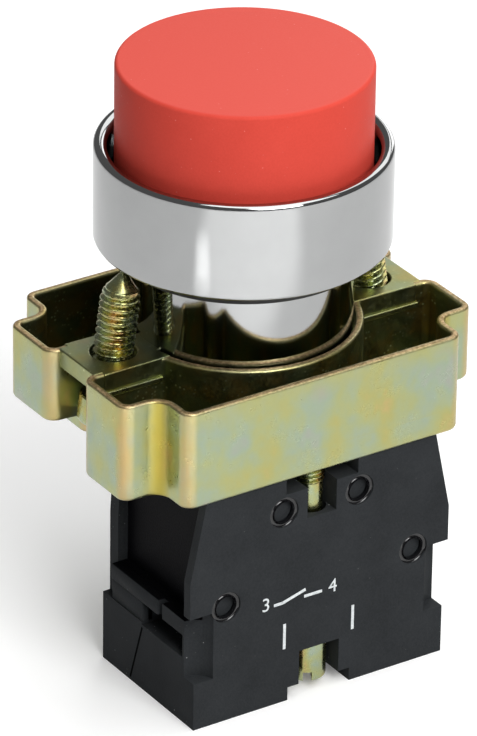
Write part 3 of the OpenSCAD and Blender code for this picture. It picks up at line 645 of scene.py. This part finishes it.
class Sheet:
    """Vertices and faces of a pressing, built strip by strip.

    Each vertex keeps how much its place is bent, near an edge, inside a pocket or on a sheared rim.
    """
    KEYS = ("bend", "edge", "inside", "rim")

    def __init__(self):
        self.points, self.faces = [], []
        self.marks = {key: [] for key in self.KEYS}

    def row(self, columns, inset, z, edge=0.0, inside=0.0, rim=0.0):
        """One row of vertices along an outline; inset and z are numbers or one number a column."""
        first = len(self.points)
        for i, (p, normal, bend) in enumerate(columns):
            at = p - normal * (inset[i] if isinstance(inset, list) else inset)
            self.points.append((at.x, at.y, z[i] if isinstance(z, list) else z))
            for key, value in zip(self.KEYS, (bend, edge, inside, rim)):
                self.marks[key].append(value)
        return list(range(first, first + len(columns)))

    def strip(self, rows):
        """Faces between closed rows."""
        for a, b in zip(rows, rows[1:]):
            n = len(a)
            self.faces += [(a[k], a[(k + 1) % n], b[(k + 1) % n], b[k]) for k in range(n)]

    def fill(self, ring):
        flat = [Vector((*self.points[i][:2], 0)) for i in ring]
        self.faces += [tuple(ring[i] for i in triangle) for triangle in tessellate_polygon([flat])]

    def build(self, name):
        obj = mesh_object(name, self.points, self.faces)
        for key, values in self.marks.items():
            obj.data.attributes.new(key, "FLOAT", "POINT").data.foreach_set("value", values)
        weld(obj)
        return obj


def mark(obj, **values):
    """Gives a whole piece one value for each of the sheet's marks."""
    for key in Sheet.KEYS:
        data = [values.get(key, 0.0)] * len(obj.data.vertices)
        obj.data.attributes.new(key, "FLOAT", "POINT").data.foreach_set("value", data)
    return obj


def make_cup(name, turn):
    """One half of the pressing: walls, a bend along the bottom, and a floor that steps up under a tongue."""
    top, low = Z_TABLE - RIM_SINK, Z_COLLAR
    rim, inner_bend = 0.26, 0.3
    step_low, step_floor = low + TONGUE_STEP, low + TONGUE_STEP + SHEET
    whole, raised, below = cup_outlines()
    upper, lower = whole + raised, whole + below
    n = len(whole)
    s = Sheet()

    def bent(inset, z, straight_inset, straight_z, **marks):
        """A row that follows a bend round the raised tongue and a straight wall elsewhere."""
        insets = [straight_inset] * n + [inset] * len(raised)
        heights = [straight_z] * n + [z] * len(raised)
        return s.row(upper, insets, heights, **marks)

    def crest(z):
        """The rim's height, with the waves that the shears leave."""
        waves, height = 0.9, 0.06
        places = [Vector((p.x * waves, p.y * waves, turn)) for p, _, _ in upper]
        return [z + min(0, height * noise.noise(place)) for place in places]

    # Steps of a quarter round: number, share across from 0 to 1, share along from 1 to 0
    steps = 5
    turns = [math.pi / 2 * i / steps for i in range(steps + 1)]
    quarter = [(i, 1 - math.cos(t), 1 - math.sin(t)) for i, t in enumerate(turns)]
    # Rows inside the pockets carry the inside mark, which paints them darker as shade; the rim's rows carry
    # edge and rim marks, which partly paint its highlight lines.
    rows = [bent(SHEET + inner_bend * across, step_floor + inner_bend * along,
                 SHEET, step_floor + inner_bend * (1 - i / steps), inside=1)
            for i, across, along in reversed(quarter)]
    tongue_floor = rows[0][n:]
    rows += [s.row(upper, SHEET, top - 1.2, inside=1), s.row(upper, SHEET, top - 1.5 * rim, inside=0.6)]
    rows += [s.row(upper, SHEET - rim * across, crest(top - rim * along), edge=0.8, rim=0.12 * i)
             for i, across, along in quarter]
    rows += [s.row(upper, rim * across, crest(top - rim * along), edge=0.8, rim=0.2 * i)
             for i, across, along in reversed(quarter)]
    rows += [s.row(upper, 0, top - 0.8, edge=0.75), s.row(upper, 0, top - 2.6)]
    rows.append(s.row(upper, 0, step_low + BEND_R + 1.2))
    rows += [bent(BEND_R * across, step_low + BEND_R * along,
                  0, step_low + BEND_R * (1 - i / steps), edge=0.1 + 0.08 * i)
             for i, across, along in quarter]
    tongue_under = rows[-1][n:]
    s.strip(rows)

    inner = [s.row(lower, SHEET, step_floor, inside=1)]
    inner += [s.row(lower, SHEET + inner_bend * across, low + SHEET + inner_bend * along, inside=1)
              for _, across, along in quarter]
    outer = [s.row(lower, 0, step_low), s.row(lower, 0, low + BEND_R + 1.0)]
    outer += [s.row(lower, BEND_R * across, low + BEND_R * along, edge=0.2 + 0.1 * i)
              for i, across, along in quarter]
    for strip in (inner, outer):
        s.strip(strip)
        s.fill(strip[-1])
    # The raised floor's two sides run from the tongue to the end wall below it
    for tongue, wall in ((tongue_floor, inner[0]), (tongue_under, outer[0])):
        s.fill([wall[n - 1], *tongue, wall[0], *reversed(wall[n:])])

    place = Matrix.Translation((0, FIX_Y, 0))
    cup = drill(s.build(name), BOSS_HOLE_R, low - 1, low + 1.3, place, steps=48)
    boss = transform(make_boss(low), place)
    return transform(join(cup, boss), Matrix.Rotation(math.radians(turn), 4, "Z"))


def make_boss(low):
    """The extruded collar of the fixing screw's hole; it starts inside the sheet."""
    edge, root = 0.3, low + 0.5
    profile = [
        (BOSS_HOLE_R, root), (BOSS_R, root), *arc(BOSS_R - edge, low + BOSS_H - edge, edge, 0, 90, 4),
        (BOSS_HOLE_R, low + BOSS_H),
    ]
    return lathe("boss", profile, steps=48)


def make_table(name, side):
    """The plate that joins the cups on one side, with its screw hole and bayonet tab."""
    proud, inside = CHANNEL_Y + SHEET + 0.12, CHANNEL_Y + SHEET / 2
    z0, z1, reach = Z_TABLE - TABLE_T, Z_TABLE, 4
    open_angle = math.degrees(math.asin(proud / RING_R)) - 0.6
    tab_angle = math.degrees(math.asin(TAB_W / 2 / RING_R))
    tab_r = BARREL_R - TAB_REACH
    narrow_x = TABLE_END_X - 0.9
    outline = [
        (narrow_x, -proud), (narrow_x, -inside), (TABLE_END_X, -inside),
        (TABLE_END_X, inside), (narrow_x, inside), (narrow_x, proud),
        *arc(0, 0, RING_R, open_angle, tab_angle, 6),
        *arc(0, 0, tab_r, tab_angle, -tab_angle, 8), *arc(0, 0, RING_R, -tab_angle, -open_angle, 6),
    ]
    plate = prism(name, [(side * x, y) for x, y in outline], z0, z1)
    drill(plate, CLAMP_R + CLAMP_CLEAR, -reach, reach, clamp_place(side), steps=64)
    # Half the inside mark paints the plate darker as shade; the edge mark's yellow partly paints highlight
    # lines.
    mark(plate, edge=0.3, inside=0.5)
    return bevel(plate, 0.2, segments=3)


def make_ledge(name, side, front):
    """The step in a pocket's wall under the table's edge."""
    y0, y1 = CHANNEL_Y + SHEET - 0.2, CHANNEL_Y + SHEET + 0.35
    z1 = Z_TABLE - TABLE_T + 0.1
    xs = sorted((side * (RING_R + SHEET - 0.4), side * (TABLE_END_X - 0.7)))
    ys = sorted((front * y0, front * y1))
    # The ledge's edge mark gives a yellow that partly paints its highlight line.
    ledge = mark(block(name, (xs[0], ys[0], z1 - 0.6), (xs[1], ys[1], z1)), edge=0.5)
    return bevel(ledge, 0.15, segments=3)


def clamp_place(side):
    """From a clamp screw's own frame, with the table's top at 0, to the part's frame."""
    turn = Matrix.Rotation(math.radians(-side * CLAMP_TILT), 4, "Y")
    return Matrix.Translation((side * CLAMP_X, 0, Z_TABLE)) @ turn


def make_collar():
    front = make_cup("collar_cup_front", 0)
    rear = make_cup("collar_cup_rear", 180)
    sides = (("left", -1), ("right", 1))
    plates = [make_table(f"collar_table_{key}", side) for key, side in sides]
    plates += [make_ledge(f"collar_ledge_{key}_{row}", side, front)
               for key, side in sides for row, front in (("front", -1), ("rear", 1))]
    dress(front, zinc_sheet, "base", "yellow_zinc", "mounting_collar")
    for obj in (rear, *plates):
        dress(obj, zinc_sheet, "base", "yellow_zinc")


def make_clamp_screw(name, side, body, node):
    cone = CLAMP_TIP - CLAMP_R
    core = CLAMP_R - THREAD_SHARE * CLAMP_PITCH
    run_out, slope, tip_r = 1.2, 0.25, 0.12

    def point(z):
        taper = CLAMP_R - slope * max(0, z - cone + run_out)
        return min(taper, max(tip_r, core * (CLAMP_TIP - z) / CLAMP_R)) if z > cone else taper

    rod = threaded_rod(name, CLAMP_R, CLAMP_PITCH, CLAMP_HEAD_TOP - 0.1, CLAMP_TIP, point)
    head = slotted_head(
        name + "_head", CLAMP_HEAD_R, CLAMP_HEAD_TOP - CLAMP_HEAD_T, CLAMP_HEAD_TOP,
        CLAMP_HEAD_EDGE, CLAMP_SLOT_DEPTH)
    screw = join(rod, head)
    transform(screw, clamp_place(side))
    return dress(screw, zinc_screw, body, "yellow_zinc", node)


# Contact block

def dress_shell(node, material):
    """A block shell stays the CAD node, with its edges broken as a moulding's are."""
    obj = nodes[node]
    obj.data.materials.clear()
    obj.data.materials.append(material)
    obj.modifiers.new("seams", "WELD").merge_threshold = 0.002 * MM
    flat = obj.modifiers.new("faces", "DECIMATE")
    flat.decimate_type, flat.angle_limit = "DISSOLVE", math.radians(1.5)
    bevel(obj, 0.14, segments=2, angle=38)
    obj.modifiers.new("normals", "WEIGHTED_NORMAL").keep_sharp = True


def make_pin_ring(name, x, z):
    """The glossy groove round the end of a pin that joins the shells; its near-black colour is painted shade
    of the gap round the pin.
    """
    r, groove, sunk, deep = 1.41, 0.28, 0.06, 0.45
    profile = [(r + groove, -deep), *arc(r, 0, groove, 0, -180, 12), (r - groove, -deep)]
    ring = lathe(name, profile, steps=64)
    transform(ring, Matrix.Translation((x, FACE_Y + sunk, z)) @ Matrix.Rotation(math.radians(90), 4, "X"))
    return dress(ring, glossy_gap_shade, "base", "black_plastic")


def make_end_wall(name, side):
    """The edge of the base's shelf up to a slit at the shells' seam, and the wall below it."""
    inside, slit, sunk, sink, edge, lift = BASE_END_X - 0.5, 0.8, 0.1, 0.2, 0.12, 0.04

    def slab(slab_name, x, y, z0, z1):
        x0, x1 = sorted((side * inside, side * x))
        return bevel(block(slab_name, (x0, y, z0), (x1, RECESS_BACK_Y, z1)), edge)

    shelf = slab(name, FOOT_END_X, SEAM_Y + slit, SHELF_Z, SHELF_TOP_Z + lift)
    wall = slab("wall", FOOT_END_X - sunk, WAY_BACK_Y, WAY_Z + sink, SHELF_Z + sink)
    return dress(join(evaluated(shelf), evaluated(wall)), black, "base", "black_plastic")


def make_end_seam(name, side):
    """The slanting seam of the shells in the end of the block's foot."""
    half, deep, proud, length, slant, foot_y, foot_z = 0.12, 0.1, 0.012, 7.0, 17.7, -3.15, 0.35
    x0, x1 = sorted((side * (FOOT_END_X - deep), side * (FOOT_END_X + proud)))
    seam = block(name, (x0, -half, 0), (x1, half, length))
    transform(seam, Matrix.Translation((0, foot_y, foot_z)) @ Matrix.Rotation(math.radians(slant), 4, "X"))
    return dress(seam, seam_black, "base", "black_plastic")


def make_fixing_screw():
    z0, z1 = fix_low.z, fix_high.z
    head_top = z0 + FIX_HEAD_T
    thread_from = z1 - FIX_THREAD_L
    fillet, root, overlap, chamfer = 0.25, head_top - 0.5, 0.1, 0.5

    def end(z):
        return FIX_R - max(0, z - z1 + chamfer)

    thread = threaded_rod("fixing_screw", FIX_R, FIX_PITCH, thread_from, z1, end)
    shank = lathe("shank", [
        (0, root), (FIX_SHANK_R + fillet, root),
        *arc(FIX_SHANK_R + fillet, head_top + fillet, fillet, -90, -180, 4),
        (FIX_SHANK_R, thread_from + overlap), (0, thread_from + overlap)], steps=64)
    head = slotted_head("head", FIX_HEAD_R, z0, head_top, FIX_HEAD_EDGE, FIX_SLOT_DEPTH, FIX_TURN)
    screw = join(thread, shank, head)
    transform(screw, Matrix.Translation((0, FIX_Y, 0)))
    return dress(screw, zinc_screw, "base", "yellow_zinc", "block_fixing_screw")


def stroke(name, x0, z0, x1, z1, width=0.32):
    """One printed bar on the block's face."""
    start, stop = Vector((x0, z0)), Vector((x1, z1))
    along = (stop - start).normalized()
    across = Vector((-along.y, along.x)) * width / 2
    flat = [start - across, stop - across, stop + across, start + across]
    points = [(p.x, y, p.y) for y in (FACE_Y - INK_T, FACE_Y + INK_T) for p in flat]
    faces = [(0, 1, 2, 3), (4, 5, 6, 7)] + [(i, (i + 1) % 4, 4 + (i + 1) % 4, 4 + i) for i in range(4)]
    return mesh_object(name, points, faces)


def numeral(name, text, x, z, height):
    """A plain printed numeral on the block's face."""
    curve = bpy.data.curves.new(name, "FONT")
    size_per_height = 1.4
    curve.body, curve.size, curve.extrude = text, height * size_per_height * MM, INK_T * MM
    label = bpy.data.objects.new(name, curve)
    bpy.context.scene.collection.objects.link(label)
    bpy.context.view_layer.update()
    mesh = bpy.data.meshes.new_from_object(label)
    bpy.data.objects.remove(label)
    obj = bpy.data.objects.new(name, mesh)
    bpy.context.scene.collection.objects.link(obj)
    stand = Matrix.Translation((x, FACE_Y, z)) @ Matrix.Rotation(math.radians(90), 4, "X")
    return transform(obj, stand)


def make_print():
    """A plain normally-open contact symbol between two terminal numerals, and two short bars."""
    z, height = 11.3, 1.5
    bars = [
        stroke("symbol", -5.45, z, -4.4, z), stroke("blade", -4.45, z, -1.75, z + 0.75),
        stroke("lead", -1.9, z, 0.2, z),
        stroke("bar_left", -4.15, 6.0, -4.15, 8.85), stroke("bar_right", 3.92, 5.8, 3.92, 8.55),
    ]
    three = numeral("three", "3", -6.9, z - 0.35, height)
    four = numeral("four", "4", 0.95, z - 0.5, height)
    symbol = join(*bars, three, four)
    symbol.name = "contact_symbol"
    dress(symbol, print_ink, "base", "white_plastic")


# Springs

def make_spring(node, body, wire, turns):
    """A round wire along a helix with closed ends."""
    low, high = box_mm(node)
    r = (high.x - low.x) / 2 - wire / 2
    centre = (low + high) / 2
    length = high.z - low.z - wire
    per_turn, sides = 28, 10
    count = int(turns * per_turn)
    points, faces = [], []
    for i in range(count + 1):
        t = 2 * math.pi * i / per_turn
        z = low.z + wire / 2 + length * i / count
        out = Vector((math.cos(t), math.sin(t), 0))
        for k in range(sides):
            a = 2 * math.pi * k / sides
            lift = Vector((0, 0, wire / 2 * math.sin(a)))
            points.append(Vector((centre.x, centre.y, z)) + out * (r + wire / 2 * math.cos(a)) + lift)
    for i in range(count):
        for k in range(sides):
            a, b = i * sides + k, i * sides + (k + 1) % sides
            faces.append((a, b, b + sides, a + sides))
    faces += [tuple(range(sides)), tuple(range(count * sides, (count + 1) * sides))]
    obj = dress(mesh_object(node + "_wire", points, faces), steel, body, "bright_steel", node)
    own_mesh(obj)


# Build

make_cap()
make_bezel()
make_barrel()
make_gasket()
make_collar()
make_clamp_screw("clamp_left", -1, "clamp_left", "clamp_screw_left")
make_clamp_screw("clamp_right", 1, "clamp_right", "clamp_screw_right")
dress_shell("block_cover", black)
dress_shell("block_base", black)
make_fixing_screw()
make_print()
for row, (x, z) in (("upper", UPPER_PIN), ("lower", LOWER_PIN)):
    make_pin_ring(f"pin_ring_{row}_left", -x, z)
    make_pin_ring(f"pin_ring_{row}_right", x, z)
for end, side in (("left", -1), ("right", 1)):
    make_end_wall(f"end_wall_{end}", side)
    make_end_seam(f"end_seam_{end}", side)

# Inner pieces keep the CAD's shape

for material, *names in (
    (white, "pusher", "pusher_foot"), (rubber, "pusher_seal"),
    (green, "contact_plunger"), (copper, "contact_bridge"),
    (silver, "bridge_tips", "fixed_tips"), (brass, "fixed_contact_left", "fixed_contact_right"),
    (steel, "stem_circlip", "terminal_screw_left", "terminal_screw_right"),
    (steel, "terminal_clamp_left", "terminal_clamp_right"),
):
    for name in names:
        nodes[name].data.materials.clear()
        nodes[name].data.materials.append(material)

for node, body, joint, drop, wire, turns in (
    ("return_spring", "base", "button_press", STROKE, 1.0, 3.5),
    ("plunger_spring", "base", "plunger_slide", STROKE, 0.5, 5),
    ("contact_spring", "bridge", "bridge_slide", STROKE - BRIDGE_STROKE, 0.4, 3),
):
    make_spring(node, body, wire, turns)


# Stage, light and camera

def make_floor():
    """A pale floor: white to the camera and in the metal, greyer where it lights the block."""
    half, depth, bounce, glow = 3000, 20, 0.6, 0.16
    floor = block("floor", (-half, -half, -depth), (half, half, 0))
    s = Shader("floor", 0.7)
    path = s.add("ShaderNodeLightPath").outputs
    seen = s.math("MAXIMUM", path["Is Camera Ray"], path["Is Glossy Ray"])
    pale = s.mix(s.noise(60.0), (0.94, 0.94, 0.94), (0.95, 0.95, 0.95))
    s.colour(s.mix(seen, (bounce, bounce, bounce), pale))
    s.put(s.bsdf.inputs["Emission Color"], (1, 1, 1, 1))
    s.put(s.bsdf.inputs["Emission Strength"], s.math("MULTIPLY", path["Is Camera Ray"], glow))
    floor.data.materials.append(s.material)


def make_pool(name, azimuth, distance, radius, power):
    """A spot on the floor in front, which the chrome shows as its bright zone."""
    height, blend, lamp_r = 600, 0.5, 4
    light = bpy.data.lights.new(name, "SPOT")
    light.energy, light.spot_size, light.spot_blend = power, 2 * math.atan(radius / height), blend
    light.shadow_soft_size = lamp_r * MM
    obj = bpy.data.objects.new(name, light)
    a = math.radians(azimuth)
    obj.location = Vector((distance * math.sin(a), -distance * math.cos(a), height)) * MM
    bpy.context.scene.collection.objects.link(obj)


def direction(azimuth, elevation):
    """From the part towards a light or the camera; azimuth 0 is in front of the block's face."""
    a, e = math.radians(azimuth), math.radians(elevation)
    return Vector((math.sin(a) * math.cos(e), -math.cos(a) * math.cos(e), math.sin(e)))


def make_light(name, azimuth, elevation, size, power):
    """A soft box that looks at the part's middle."""
    distance, aim_z = 900, 30
    light = bpy.data.lights.new(name, "AREA")
    light.shape, light.size, light.energy = "SQUARE", size * MM, power
    obj = bpy.data.objects.new(name, light)
    back = direction(azimuth, elevation)
    obj.location = (Vector((0, 0, aim_z)) + back * distance) * MM
    obj.rotation_euler = (-back).to_track_quat("-Z", "Y").to_euler()
    bpy.context.scene.collection.objects.link(obj)


def make_world(ambient):
    """A plain dim studio round the lights."""
    world = bpy.data.worlds.new("studio")
    bpy.context.scene.world = world
    world.use_nodes = True
    sky = world.node_tree.nodes["Background"]
    sky.inputs["Color"].default_value = (1, 1, 1, 1)
    sky.inputs["Strength"].default_value = ambient


# The photo's camera, with its angles in degrees and its picture sizes in pixels

IMAGE_W, IMAGE_H = 477, 736
AZIMUTH, ELEVATION, ROLL = -33.44, 27.97, 0.827
DISTANCE, FOCAL_PX = 614.1, 6230.7
TARGET = Vector((0, 0, 29.23))
PRINCIPAL = (240.9, 370.1)


def make_camera():
    data = bpy.data.cameras.new("photo")
    data.sensor_width = 36
    data.lens = FOCAL_PX * data.sensor_width / IMAGE_H
    data.shift_x = (IMAGE_W / 2 - PRINCIPAL[0]) / IMAGE_H
    data.shift_y = (PRINCIPAL[1] - IMAGE_H / 2) / IMAGE_H
    data.clip_start, data.clip_end = 0.01, 20
    a, roll = math.radians(AZIMUTH), math.radians(ROLL)
    back = direction(AZIMUTH, ELEVATION)
    level = Vector((math.cos(a), math.sin(a), 0))
    upright = back.cross(level)
    right = level * math.cos(roll) + upright * math.sin(roll)
    up = upright * math.cos(roll) - level * math.sin(roll)
    camera = bpy.data.objects.new("photo", data)
    turn = Matrix((right, up, back)).transposed().to_4x4()
    camera.matrix_world = Matrix.Translation((TARGET + back * DISTANCE) * MM) @ turn
    bpy.context.scene.collection.objects.link(camera)
    bpy.context.scene.camera = camera


make_floor()
make_world(0.15)
make_light("key", azimuth=-5, elevation=40, size=500, power=6.2)
make_light("top", azimuth=30, elevation=78, size=800, power=4.9)
make_light("right", azimuth=128, elevation=42, size=500, power=1.5)
make_light("back", azimuth=130, elevation=12, size=350, power=0.9)
make_pool("pool", azimuth=-27, distance=150, radius=100, power=9.0)
for key, distance in (("near", 98), ("middle", 110), ("far", 122)):
    make_pool(f"pool_edge_{key}", azimuth=-62, distance=distance, radius=12, power=10.0)
make_camera()
bpy.context.scene.view_settings.view_transform = "Standard"
